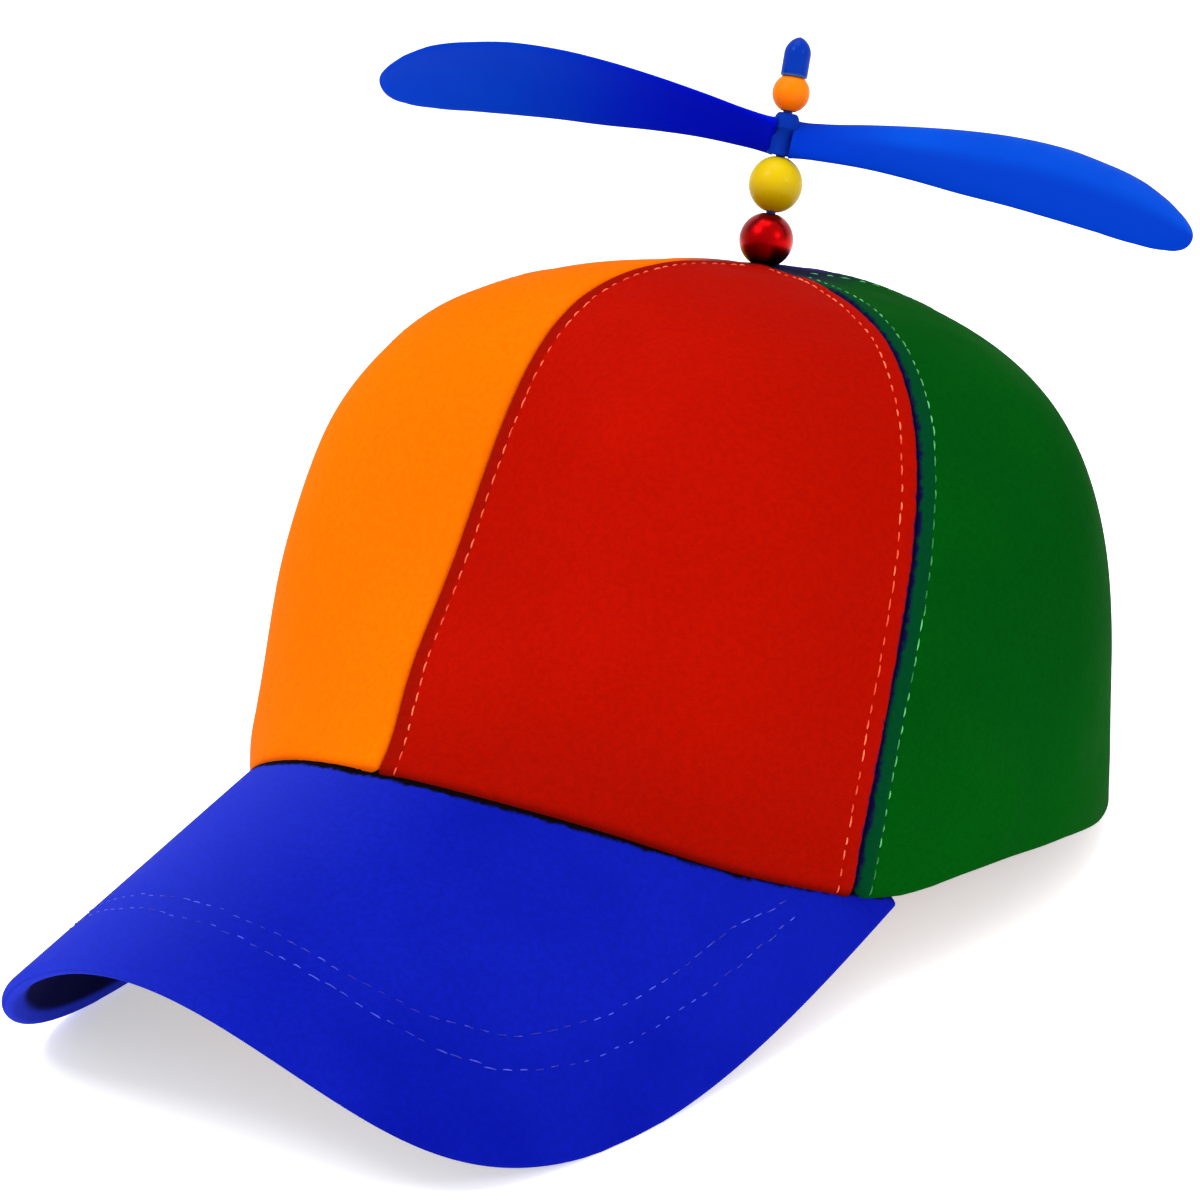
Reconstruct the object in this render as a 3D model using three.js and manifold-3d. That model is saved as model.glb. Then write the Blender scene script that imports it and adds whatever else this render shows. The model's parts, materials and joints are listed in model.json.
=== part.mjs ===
// A baseball-style cap of six cloth panels with a curved brim. On its top a
// fixed spindle carries round beads and a two-bladed propeller that spins.
// Millimetres, +Z up, front of the cap towards -Y, wearer's left towards +X.
import * as THREE from 'three';
import Module from 'manifold-3d';

const wasm = await Module();
wasm.setup();

// Driving sizes

const fitGap = 0.3; // between pieces that meet

const crown = {
  halfWidth: 81.9,
  frontReach: 113.2, // from the apex line to the front of the rim
  backReach: 93,
  height: 106.1, // apex over the rim's own level
  apexSetBack: 3,
  rimRise: 1.2, // how much the back of the rim rises over its middle
  wall: 2,
  rightFlare: 3, // the rim stands out more on the wearer's right
  flareShare: 0.12, // share of the profile over which that flare fades
  rimPower: 1.91, // superellipse power of the rim, and of the section half way up
  midPower: 1.79,
};

const brim = {
  overhang: 15.8, // how much wider than the crown each half of it is, measured flat
  reach: 60.2, // from the middle of the front rim to the front edge
  tail: 56.9, // how far its ends run back along the rim
  thickness: 3,
  slopeAngle: 28.9, // degrees below the rim's plane, along the middle
  rollAngle: 3.4, // lower on the wearer's right
  seatHeight: 13.8, // front of the rim over the level of its sides
  sidePower: 4.28,
  frontPower: 3.07,
  edgeRadius: 1.4,
};
brim.halfWidth = crown.halfWidth + brim.overhang;

const spindle = {
  radius: 1,
  leanAngle: 6.83, // towards the back, in the crown's own frame
  sideLeanAngle: 0.69, // towards the wearer's left
  footRadius: 5,
  footMargin: 1, // crown round the foot that it must stay clear of
  footThickness: 1.2,
  topDepth: 4.2, // how far it enters the cap
};
const bore = { radius: spindle.radius + fitGap };
const topHole = { radius: 2.8 };

const redBead = { radius: 5.6, height: 11.3 };
const yellowBead = { radius: 5.55, height: 11.7 };
const orangeBead = { radius: 3.85, height: 8 };
const tipCap = { radius: 2.85, height: 7.3, shoulder: 4.6, nose: 1.0 };

const hub = { radius: 2.4, height: 8.8, domeRadius: 2.8, domeHeight: 3.2, lipHeight: 0.7 };
const blade = {
  length: 85.2, // from the spindle's axis to the tip
  chord: 22.7,
  thickness: 1.5,
  camber: 1.3, // rise of the chord's middle
  angleAtHub: 47.8, // pitch, in degrees
  angleAtTip: 36,
  droop: 1,
  headingAngle: 33.4, // from +X, where the blade on the wearer's left points
  endPlayAngle: 1.7, // how far the loose hub leans over along the blades
  sidePlayAngle: 4.3, // and across them
};

const hemPress = 0.8; // how far the soft hem flattens on the table
const brimPress = 0.4;

// Shape tables, in shares of the sizes above

// Crown profile at angles from the front: how far the lower part leans out, how
// high it rises before it turns in, how wide the shoulder is, how it is crested.
const profileRows = [
  { angle: 0, lean: -0.439, rise: 0.5, shoulder: 0.858, crest: 0.114 },
  { angle: 45, lean: -0.011, rise: 0.519, shoulder: 1.075, crest: 0.047 },
  { angle: 90, lean: 0.122, rise: 0.615, shoulder: 1.101, crest: -0.031 },
  { angle: 135, lean: -0.115, rise: 0.5, shoulder: 0.774, crest: 0.033 },
  { angle: 180, lean: -0.04, rise: 0.52, shoulder: 0.75, crest: 0.03 },
];

// Seams between panels: angle at the rim and at the apex, and the kink of the
// front one where it meets the brim.
const seamRows = {
  front: { rimAngle: 0, apexAngle: 0, kinkAngle: 5.8 },
  side: { rimAngle: 62.8, apexAngle: 72.1, kinkAngle: 0 },
  rear: { rimAngle: 132, apexAngle: 130, kinkAngle: 0 },
  back: { rimAngle: 180, apexAngle: 180, kinkAngle: 0 },
};
const kinkShare = 0.1; // share of the profile over which that kink fades

// Degrees past the brim's end over which the rim eases off the brim
const rimTurn = { pastAngle: 5, easeAngle: 3.2, endAngle: 34 };

// Bend of the brim: slope of its section, in degrees, over its half width.
const bendRows = [
  { share: -0.2, slope: -18.7 },
  { share: 0, slope: 0 },
  { share: 0.2, slope: 18.7 },
  { share: 0.4, slope: 33.8 },
  { share: 0.6, slope: 48.3 },
  { share: 0.8, slope: 56.4 },
  { share: 1, slope: 69.6 },
  { share: 1.2, slope: 85.9 },
];

// Propeller blade: leading and trailing edge over its length, in shares of the chord.
const bladeRows = [
  { share: 0, lead: 0.17, trail: -0.26 },
  { share: 0.08, lead: 0.21, trail: -0.24 },
  { share: 0.2, lead: 0.32, trail: -0.23 },
  { share: 0.32, lead: 0.43, trail: -0.26 },
  { share: 0.44, lead: 0.53, trail: -0.31 },
  { share: 0.56, lead: 0.6, trail: -0.34 },
  { share: 0.68, lead: 0.61, trail: -0.39 },
  { share: 0.78, lead: 0.54, trail: -0.44 },
  { share: 0.87, lead: 0.42, trail: -0.49 },
  { share: 0.94, lead: 0.23, trail: -0.51 },
  { share: 0.98, lead: 0.04, trail: -0.46 },
  { share: 1, lead: -0.12, trail: -0.33 },
];

// How finely the surfaces are cut
const panelColumns = [
  0, 0.03, 0.08, 0.14, 0.21, 0.29, 0.37, 0.45, 0.53, 0.61, 0.69, 0.77, 0.84, 0.9, 0.95, 0.98, 1,
];
const panelRowsPerDegree = 1 / 5.5;
const brimRows = 52;
const brimColumns = [0, 0.2, 0.4, 0.6, 0.8, 1];
const bladeLevel = 0.49; // share of the hub's height at which the blades leave it
const edgeShare = 0.99; // the last of the edge is inside the crown
const bladeColumns = 8;
const roundSides = 20;

// Small tools

const radians = THREE.MathUtils.degToRad;
const lerp = THREE.MathUtils.lerp;
const smooth = THREE.MathUtils.smoothstep;

// Smooth value of a table's column, with its first and last rows mirrored.
function column(rows, key, at, name) {
  const last = rows.length - 1;
  let i = 0;
  while (i < last - 1 && at > rows[i + 1][key]) i += 1;
  const g = (at - rows[i][key]) / (rows[i + 1][key] - rows[i][key]);
  const p1 = rows[i][name];
  const p2 = rows[i + 1][name];
  const p0 = rows[Math.abs(i - 1)][name];
  const p3 = rows[last - Math.abs(last - i - 2)][name];
  const bend = 2 * p0 - 5 * p1 + 4 * p2 - p3 + g * (3 * (p1 - p2) + p3 - p0);
  return p1 + 0.5 * g * (p2 - p0 + g * bend);
}

function power(value, exponent) {
  return Math.sign(value) * Math.abs(value) ** exponent;
}

function bezier(a, b, c, d, t) {
  const s = 1 - t;
  return s * s * s * a + 3 * s * s * t * b + 3 * s * t * t * c + t * t * t * d;
}

// Value on a polyline, held at its ends.
function linear(xs, ys, x) {
  let i = 0;
  while (i < xs.length - 2 && x > xs[i + 1]) i += 1;
  return lerp(ys[i], ys[i + 1], THREE.MathUtils.clamp((x - xs[i]) / (xs[i + 1] - xs[i]), 0, 1));
}

function volume(points, faces) {
  let sum = 0;
  for (const [a, b, c] of faces) {
    sum += points[a].dot(new THREE.Vector3().crossVectors(points[b], points[c])) / 6;
  }
  return sum;
}

// One closed solid between two grids of points. Where the grids share points,
// as along a rounded edge, the skins meet there.
function wallSolid(outer, inner) {
  const rows = outer.length;
  const cols = outer[0].length;
  const quads = [];
  const quad = (...corners) => quads.push(corners);
  for (let i = 0; i < rows - 1; i += 1) {
    for (let j = 0; j < cols - 1; j += 1) {
      quad(outer[i][j], outer[i + 1][j], outer[i + 1][j + 1], outer[i][j + 1]);
      quad(inner[i][j], inner[i][j + 1], inner[i + 1][j + 1], inner[i + 1][j]);
    }
    quad(outer[i][0], inner[i][0], inner[i + 1][0], outer[i + 1][0]);
    const e = cols - 1;
    quad(outer[i][e], outer[i + 1][e], inner[i + 1][e], inner[i][e]);
  }
  for (let j = 0; j < cols - 1; j += 1) {
    quad(outer[0][j], outer[0][j + 1], inner[0][j + 1], inner[0][j]);
    const e = rows - 1;
    quad(outer[e][j], inner[e][j], inner[e][j + 1], outer[e][j + 1]);
  }
  return welded(quads);
}

// A turned solid about +Z from [radius, height] points; one with a bore closes
// on itself.
function turned(profile, closed = false) {
  const points = profile.map(([r, z]) => new THREE.Vector2(r, z));
  if (closed) points.push(points[0].clone());
  const lathe = new THREE.LatheGeometry(points, roundSides).rotateX(Math.PI / 2);
  const place = lathe.getAttribute('position');
  const at = (i, j) => new THREE.Vector3().fromBufferAttribute(place, (i % roundSides) * points.length + j);
  const quads = [];
  for (let i = 0; i < roundSides; i += 1) {
    for (let j = 0; j < points.length - 1; j += 1) {
      quads.push([at(i, j), at(i + 1, j), at(i + 1, j + 1), at(i, j + 1)]);
    }
  }
  return welded(quads);
}

// Welds quads into one closed mesh that faces out.
function welded(quads) {
  const points = [];
  const known = new Map();
  const faces = [];
  const index = (p) => {
    const key = [p.x, p.y, p.z].map((v) => Math.round(v * 1e4)).join();
    if (!known.has(key)) {
      known.set(key, points.length);
      points.push(p);
    }
    return known.get(key);
  };
  for (const quad of quads) {
    const [a, b, c, d] = quad.map(index);
    for (const face of [[a, b, c], [a, c, d]]) {
      if (new Set(face).size === 3) faces.push(face);
    }
  }
  if (volume(points, faces) < 0) faces.forEach((face) => face.reverse());
  const geometry = new THREE.BufferGeometry();
  const flat = points.flatMap((p) => [p.x, p.y, p.z]);
  geometry.setAttribute('position', new THREE.Float32BufferAttribute(flat, 3));
  geometry.setIndex(faces.flat());
  return geometry;
}

function toManifold(geometry) {
  const mesh = new wasm.Mesh({
    numProp: 3,
    vertProperties: new Float32Array(geometry.getAttribute('position').array),
    triVerts: new Uint32Array(geometry.getIndex().array),
  });
  return new wasm.Manifold(mesh);
}

function fromManifold(solid) {
  const mesh = solid.getMesh();
  const geometry = new THREE.BufferGeometry();
  geometry.setAttribute('position', new THREE.BufferAttribute(mesh.vertProperties, 3));
  geometry.setIndex(new THREE.BufferAttribute(mesh.triVerts, 1));
  return geometry;
}

// Brim surface: a flat pattern (across, ahead) bent over an arch that slopes down

function slopeAt(across) {
  return radians(column(bendRows, 'share', across / brim.halfWidth, 'slope'));
}

// Section of the bent brim, moved outwards by an offset: across and down.
function brimSection(offset) {
  const steps = 48;
  const span = brim.halfWidth * bendRows[bendRows.length - 1].share;
  const across = [0];
  const side = [0];
  const drop = [0];
  for (let i = 1; i <= steps; i += 1) {
    const slopes = [i - 1, i].map((k) => slopeAt(k * span / steps));
    const mean = (slopes[0] + slopes[1]) / 2;
    across.push(i * span / steps);
    side.push(side[i - 1] + Math.cos(mean) * span / steps);
    drop.push(drop[i - 1] + Math.sin(mean) * span / steps);
  }
  const roll = radians(brim.rollAngle);
  const full = [];
  for (let i = -steps; i <= steps; i += 1) {
    const k = Math.abs(i);
    const slope = slopeAt(across[k]);
    const x = Math.sign(i) * (side[k] + offset * Math.sin(slope));
    const z = offset * Math.cos(slope) - drop[k];
    full.push({
      across: Math.sign(i) * across[k],
      x: x * Math.cos(roll) - z * Math.sin(roll),
      rise: x * Math.sin(roll) + z * Math.cos(roll),
    });
  }
  return {
    across: full.map((row) => row.across),
    x: full.map((row) => row.x),
    rise: full.map((row) => row.rise),
  };
}

const sections = new Map();
function sectionAt(offset) {
  if (!sections.has(offset)) sections.set(offset, brimSection(offset));
  return sections.get(offset);
}

const slope = radians(brim.slopeAngle);

// Point of the brim's upper surface, moved along its normal by an offset.
function brimPoint(across, ahead, offset = 0) {
  const section = sectionAt(offset);
  const x = linear(section.across, section.x, across);
  const rise = linear(section.across, section.rise, across);
  const y = -crown.frontReach - ahead * Math.cos(slope) - rise * Math.sin(slope);
  const z = brim.seatHeight - ahead * Math.sin(slope) + rise * Math.cos(slope);
  return new THREE.Vector3(x, y, z);
}

// Flat pattern coordinates of the surface point over a place in plan.
function brimPattern(x, y, offset = 0) {
  const section = sectionAt(offset);
  const rise = linear(section.x, section.rise, x);
  const ahead = (-crown.frontReach - y - rise * Math.sin(slope)) / Math.cos(slope);
  return { across: linear(section.x, section.across, x), ahead };
}

// Crown surface

// Rim outline in plan, before the profile leans it in or out. Angle 0 is the
// front and positive angles are on the wearer's left.
function outline(angle, exponent, inset) {
  const s = Math.sin(radians(angle));
  const c = Math.cos(radians(angle));
  const reach = c > 0 ? crown.frontReach : crown.backReach;
  const x = (crown.halfWidth - inset) * power(s, 2 / exponent);
  const y = -(reach - inset) * power(c, 2 / exponent);
  return { x, y };
}

function flared(x, fade) {
  return x < 0 ? x * (1 + fade * crown.rightFlare / crown.halfWidth) : x;
}

function rimPlan(angle, inset = 0) {
  const { x, y } = outline(angle, crown.rimPower, inset);
  return { x: flared(x, 1), y };
}

// Angle at which the rim leaves the brim on one side: the pattern's side edge
// meets it there.
function brimEndAngle(side) {
  let low = 30;
  let high = 89;
  for (let i = 0; i < 40; i += 1) {
    const angle = (low + high) / 2;
    const { x, y } = rimPlan(side * angle);
    if (side * brimPattern(x, y).across < brim.halfWidth - brim.edgeRadius / 2) low = angle;
    else high = angle;
  }
  return low;
}

const brimEnds = { left: brimEndAngle(1), right: brimEndAngle(-1) };

// The rim sits on the brim at the front and eases to its own plane behind it.
function rimHeight(angle, inset) {
  const { x, y } = rimPlan(angle, inset);
  const level = crown.rimRise * y / crown.backReach;
  const { across, ahead } = brimPattern(x, y, fitGap);
  const onBrim = brimPoint(across, ahead, fitGap).z;
  const turn = Math.abs(angle) > 180 ? 360 - Math.abs(angle) : Math.abs(angle);
  const end = x > 0 ? brimEnds.left : brimEnds.right;
  const weight = 1 / (1 + Math.exp((turn - end - rimTurn.pastAngle) / rimTurn.easeAngle));
  return lerp(level, onBrim, turn < end + rimTurn.endAngle ? weight : 0);
}

function crownPoint(angle, t, inset = 0) {
  const turn = Math.abs(angle) > 180 ? 360 - Math.abs(angle) : Math.abs(angle);
  const { lean, rise, shoulder, crest } = profileAt(turn);
  const low = outline(angle, crown.rimPower, inset);
  const mid = outline(angle, crown.midPower, inset);
  const mix = smooth(t, 0, 0.45);
  const out = bezier(1, 1 + lean, shoulder, 0, t);
  const up = bezier(0, rise, 1 + crest, 1, t);
  const base = rimHeight(angle, inset);
  const fade = Math.exp(-((t / crown.flareShare) ** 2));
  const x = flared(lerp(low.x, mid.x, mix), fade) * out;
  const y = crown.apexSetBack * (1 - out) + lerp(low.y, mid.y, mix) * out;
  return new THREE.Vector3(x, y, base + (crown.height - inset - base) * up);
}

function profileAt(turn) {
  const value = (name) => column(profileRows, 'angle', turn, name);
  return { lean: value('lean'), rise: value('rise'), shoulder: value('shoulder'), crest: value('crest') };
}

// Share of the profile at which it reaches the hole round the spindle.
function holeShare(angle, inset) {
  let low = 0.8;
  let high = 1;
  for (let i = 0; i < 30; i += 1) {
    const t = (low + high) / 2;
    const p = crownPoint(angle, t, inset);
    if (Math.hypot(p.x, p.y - crown.apexSetBack) > topHole.radius) low = t;
    else high = t;
  }
  return high;
}

function seamAngle(seam, side, t) {
  const row = seamRows[seam];
  const kink = row.kinkAngle * Math.exp(-((t / kinkShare) ** 2));
  return side * lerp(row.rimAngle, row.apexAngle, t ** 1.5) + kink;
}

// Pattern outline of the brim's outer edge, stepped evenly along its length.
function edgeTable(inset) {
  const steps = 300;
  const run = brim.reach - inset + brim.tail;
  const table = { length: [], across: [], ahead: [] };
  for (let i = -steps; i <= steps; i += 1) {
    const a = Math.PI / 2 * power(i / steps, brim.sidePower / 2);
    const across = (brim.halfWidth - inset) * power(Math.sin(a), 2 / brim.sidePower);
    const ahead = run * Math.max(0, Math.cos(a)) ** (2 / brim.frontPower) - brim.tail;
    const last = table.length.length - 1;
    const move = last < 0 ? 0 : Math.hypot(across - table.across[last], ahead - table.ahead[last]);
    table.length.push(last < 0 ? 0 : table.length[last] + move);
    table.across.push(across);
    table.ahead.push(ahead);
  }
  return table;
}

const edges = new Map();

// Point of that edge, from one end (-1) to the other (1).
function brimEdge(at, inset = 0) {
  if (!edges.has(inset)) edges.set(inset, edgeTable(inset));
  const { length, across, ahead } = edges.get(inset);
  const place = (at + 1) / 2 * length[length.length - 1];
  return { across: linear(length, across, place), ahead: linear(length, ahead, place) };
}

// Rest pose: the cap leans back and sideways until both edges of the brim and
// the back of the hem are on the table, each pressed by its own amount.

const brimLow = [];
for (let i = -60; i <= 60; i += 1) {
  const { across, ahead } = brimEdge(i / 61, brim.edgeRadius / 2);
  brimLow.push(brimPoint(across, ahead, -brim.thickness));
}
const hemLow = [];
for (let angle = 120; angle <= 240; angle += 4) hemLow.push(crownPoint(angle, 0));

function restMatrix(tilt, sway) {
  const turn = new THREE.Matrix4().makeRotationX(-tilt);
  return turn.multiply(new THREE.Matrix4().makeRotationY(sway));
}

function lowest(points, matrix) {
  const moved = points.map((p) => p.clone().applyMatrix4(matrix));
  return moved.reduce((low, p) => (p.z < low.z ? p : low));
}

function restPose() {
  let tilt = 0;
  let sway = 0;
  let level = 0;
  for (let i = 0; i < 60; i += 1) {
    const pose = restMatrix(tilt, sway);
    const left = lowest(brimLow.filter((p) => p.x > 0), pose);
    const right = lowest(brimLow.filter((p) => p.x < 0), pose);
    const hem = lowest(hemLow, pose);
    const edge = (left.z + right.z) / 2;
    sway += (left.z - right.z) / (left.x - right.x) / 2;
    tilt += (hem.z + hemPress - edge - brimPress) / (hem.y - left.y) / 2;
    level = hem.z + hemPress;
  }
  return restMatrix(tilt, sway).premultiply(new THREE.Matrix4().makeTranslation(0, 0, -level));
}

const rest = restPose();
const restBack = rest.clone().invert();

// Cloth below the table's level is pressed flat onto it.
function pressed(point) {
  const p = point.clone().applyMatrix4(rest);
  if (p.z >= 0) return point;
  return p.setZ(0).applyMatrix4(restBack);
}

// Cloth pieces

// One panel between two seams; each seam is [name, side of the cap].
function panel(from, to) {
  const width = Math.abs(seamAngle(...to, 0) - seamAngle(...from, 0));
  const rows = Math.round(width * panelRowsPerDegree);
  const grid = (inset) => {
    const lines = [];
    for (let i = 0; i <= rows; i += 1) lines.push(panelLine(from, to, i / rows, inset));
    return lines;
  };
  return wallSolid(grid(0), grid(crown.wall));
}

function panelLine(from, to, share, inset) {
  return panelColumns.map((part) => {
    const first = seamAngle(...from, part);
    const last = seamAngle(...to, part);
    let angle = lerp(first, last, share);
    let t = part * holeShare(angle, inset);
    if (share === 0 || share === 1) {
      angle += (share === 0 ? 1 : -1) * Math.sign(last - first) * halfGapAngle(angle, t, inset);
      t = part * holeShare(angle, inset);
    }
    return pressed(crownPoint(angle, t, inset));
  });
}

// Angle that makes half of the gap between two panels at this height.
function halfGapAngle(angle, t, inset) {
  const step = 0.5;
  const move = crownPoint(angle + step, t, inset).distanceTo(crownPoint(angle - step, t, inset));
  return fitGap / 2 / (move / (2 * step));
}

function brimPiece() {
  const top = [];
  const bottom = [];
  for (let i = 0; i <= brimRows; i += 1) {
    const at = 2 * i / brimRows - 1;
    const plan = rimPlan(at * (at > 0 ? brimEnds.left : brimEnds.right), crown.wall);
    const root = brimPattern(plan.x, plan.y);
    const far = brimEdge(at * edgeShare, brim.edgeRadius);
    const edge = brimEdge(at * edgeShare);
    const skin = (depth) => {
      const line = brimColumns.map((w) => {
        const across = lerp(root.across, far.across, w);
        return pressed(brimPoint(across, lerp(root.ahead, far.ahead, w), depth));
      });
      line.push(pressed(brimPoint(edge.across, edge.ahead, -brim.thickness / 2)));
      return line;
    };
    top.push(skin(0));
    bottom.push(skin(-brim.thickness));
  }
  return wallSolid(top, bottom);
}

// Spindle, beads, propeller and cap, along the spindle's own axis

const spindleFrame = new THREE.Group();
spindleFrame.position.set(0, crown.apexSetBack, crown.height);
spindleFrame.rotation.set(-radians(spindle.leanAngle), radians(spindle.sideLeanAngle), 0);
spindleFrame.updateMatrix();
const toSpindle = spindleFrame.matrix.clone().invert();

// Points of the crown round its hole, as radius and height along the spindle.
function roundHole(inset, reach) {
  const found = [];
  for (let angle = -180; angle < 180; angle += 15) {
    for (let share = 0; share <= 1; share += 0.1) {
      const t = lerp(holeShare(angle, inset), 0.93, share);
      const p = crownPoint(angle, t, inset).applyMatrix4(toSpindle);
      const radius = Math.hypot(p.x, p.y);
      if (radius <= reach) found.push({ radius, height: p.z });
    }
  }
  return found;
}

function beadDepth(bead, radius) {
  return bead.height / 2 * Math.sqrt(Math.max(0, 1 - (radius / bead.radius) ** 2));
}

const overFoot = roundHole(crown.wall, spindle.footRadius + spindle.footMargin);
const underRed = roundHole(0, redBead.radius);
const footTop = Math.min(...overFoot.map((p) => p.height)) - fitGap;
const redSeat = Math.max(...underRed.map((p) => p.height + beadDepth(redBead, p.radius)));
const redCentre = redSeat + fitGap;
const beadTouch = (bead) => beadDepth(bead, bore.radius);
const yellowCentre = redCentre + redBead.height / 2 + yellowBead.height / 2;
const hubBottom = yellowCentre + beadTouch(yellowBead) + fitGap;
const hubMiddle = hubBottom + hub.height / 2;
const hubTop = hubBottom + hub.height;
const orangeCentre = hubTop + fitGap + beadTouch(orangeBead);
const capBottom = orangeCentre + beadTouch(orangeBead) + fitGap;

function beadPiece(bead) {
  const steps = 10;
  const start = Math.asin(bore.radius / bead.radius);
  const profile = [];
  for (let i = 0; i <= steps; i += 1) {
    const a = lerp(start, Math.PI - start, i / steps);
    profile.push([bead.radius * Math.sin(a), -bead.height / 2 * Math.cos(a)]);
  }
  return turned(profile, true);
}

function spindlePiece() {
  const top = capBottom + spindle.topDepth;
  const footBottom = footTop - spindle.footThickness;
  return turned([
    [0, footBottom],
    [spindle.footRadius, footBottom],
    [spindle.footRadius, footTop],
    [spindle.radius, footTop],
    [spindle.radius, top],
    [0, top],
  ]);
}

function tipCapPiece() {
  const depth = spindle.topDepth + fitGap;
  const profile = [[bore.radius, 0], [tipCap.radius, 0], [tipCap.radius, tipCap.shoulder]];
  const steps = 4;
  for (let i = 1; i <= steps; i += 1) {
    const a = i / steps * Math.PI / 2;
    const r = tipCap.nose + (tipCap.radius - tipCap.nose) * Math.cos(a);
    profile.push([r, tipCap.shoulder + (tipCap.height - tipCap.shoulder) * Math.sin(a)]);
  }
  profile.push([0, tipCap.height], [0, depth], [bore.radius, depth]);
  return turned(profile, true);
}

function hubPiece() {
  const profile = [
    [0, 0],
    [hub.domeRadius, 0],
    [hub.domeRadius, hub.lipHeight],
    [hub.radius, hub.lipHeight + fitGap],
    [hub.radius, hub.height - hub.domeHeight],
  ];
  const steps = 5;
  for (let i = 0; i < steps; i += 1) {
    const a = i / steps * Math.PI / 2;
    const rise = hub.domeHeight * (0.2 + 0.8 * Math.sin(a));
    profile.push([hub.domeRadius * Math.cos(a), hub.height - hub.domeHeight + rise]);
  }
  profile.push([0, hub.height]);
  return turned(profile);
}

// One blade along +X from the axis, its leading edge towards +Y and raised.
function bladePiece() {
  const upper = [];
  const lower = [];
  for (const { share, lead, trail } of bladeRows) {
    const pitch = radians(lerp(blade.angleAtHub, blade.angleAtTip, share));
    const sag = blade.droop * smooth(share, 0.2, 1.2) * 2;
    const line = (side) => {
      const points = [];
      for (let j = 0; j <= bladeColumns; j += 1) {
        const g = j / bladeColumns;
        const along = lerp(trail, lead, g) * blade.chord;
        const width = (lead - trail);
        const arch = blade.camber * width * (1 - (2 * g - 1) ** 2);
        const thick = side * blade.thickness / 2 * Math.sqrt(1 - (2 * g - 1) ** 4);
        const off = arch + thick;
        const y = along * Math.cos(pitch) - off * Math.sin(pitch);
        const z = along * Math.sin(pitch) + off * Math.cos(pitch) - sag;
        points.push(new THREE.Vector3(share * blade.length, y, z));
      }
      return points;
    };
    upper.push(line(1));
    lower.push(line(-1));
  }
  return wallSolid(upper, lower);
}

// The hub's bore is wide enough for its play, and its middle is the origin.
function propellerPiece() {
  const raise = hub.height * bladeLevel;
  const arm = toManifold(bladePiece().translate(0, 0, raise));
  const other = toManifold(bladePiece().rotateZ(Math.PI).translate(0, 0, raise));
  const playAngle = Math.hypot(blade.endPlayAngle, blade.sidePlayAngle);
  const radius = bore.radius + hub.height / 2 * Math.sin(radians(playAngle));
  const over = fitGap;
  const hole = turned([[0, -over], [radius, -over], [radius, hub.height + over], [0, hub.height + over]]);
  const solid = toManifold(hubPiece()).add(arm).add(other).subtract(toManifold(hole));
  return fromManifold(solid.translate([0, 0, -hub.height / 2]));
}

// The model

const cloth = (color) => new THREE.MeshStandardMaterial({ color, roughness: 0.9, metalness: 0 });
const plastic = (color) => new THREE.MeshStandardMaterial({ color, roughness: 0.35, metalness: 0 });

function piece(name, geometry, material, height = 0) {
  geometry.computeVertexNormals();
  const mesh = new THREE.Mesh(geometry, material);
  mesh.name = name;
  mesh.position.z = height;
  return mesh;
}

const left = 1;
const right = -1;
const hat = new THREE.Group();
hat.add(
  piece('panel_front_left', panel(['front', left], ['side', left]), cloth('#c60f00')),
  piece('panel_front_right', panel(['front', right], ['side', right]), cloth('#ff7d00')),
  piece('panel_side_left', panel(['side', left], ['rear', left]), cloth('#00550a')),
  piece('panel_side_right', panel(['side', right], ['rear', right]), cloth('#f0c800')),
  piece('panel_back_left', panel(['rear', left], ['back', left]), cloth('#1a2a9a')),
  piece('panel_back_right', panel(['rear', right], ['back', right]), cloth('#6a3a9a')),
  piece('brim', brimPiece(), cloth('#1020b4')),
);

const turn = piece('propeller', propellerPiece(), plastic('#0046d2'), hubMiddle);
const playAngles = [radians(blade.sidePlayAngle), radians(blade.endPlayAngle)];
turn.rotation.set(...playAngles, radians(blade.headingAngle), 'ZYX');
spindleFrame.add(
  piece('spindle', spindlePiece(), plastic('#1030b0')),
  piece('bead_red', beadPiece(redBead), plastic('#c01010'), redCentre),
  piece('bead_yellow', beadPiece(yellowBead), plastic('#e1cd14'), yellowCentre),
  turn,
  piece('bead_orange', beadPiece(orangeBead), plastic('#ff9a14'), orangeCentre),
  piece('tip_cap', tipCapPiece(), plastic('#0a3cb4'), capBottom),
);
hat.add(spindleFrame);
hat.applyMatrix4(rest);

// The origin is under the middle of the whole object, on the table.
const model = new THREE.Group();
model.add(hat);
model.updateMatrixWorld(true);
const box = new THREE.Box3().setFromObject(model, true);
hat.position.x -= (box.min.x + box.max.x) / 2;
hat.position.y -= (box.min.y + box.max.y) / 2;

export default model;
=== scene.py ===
import json
import math
import random
from types import SimpleNamespace as Sizes

import bpy
import numpy as np
from mathutils import Matrix, Vector


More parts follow.
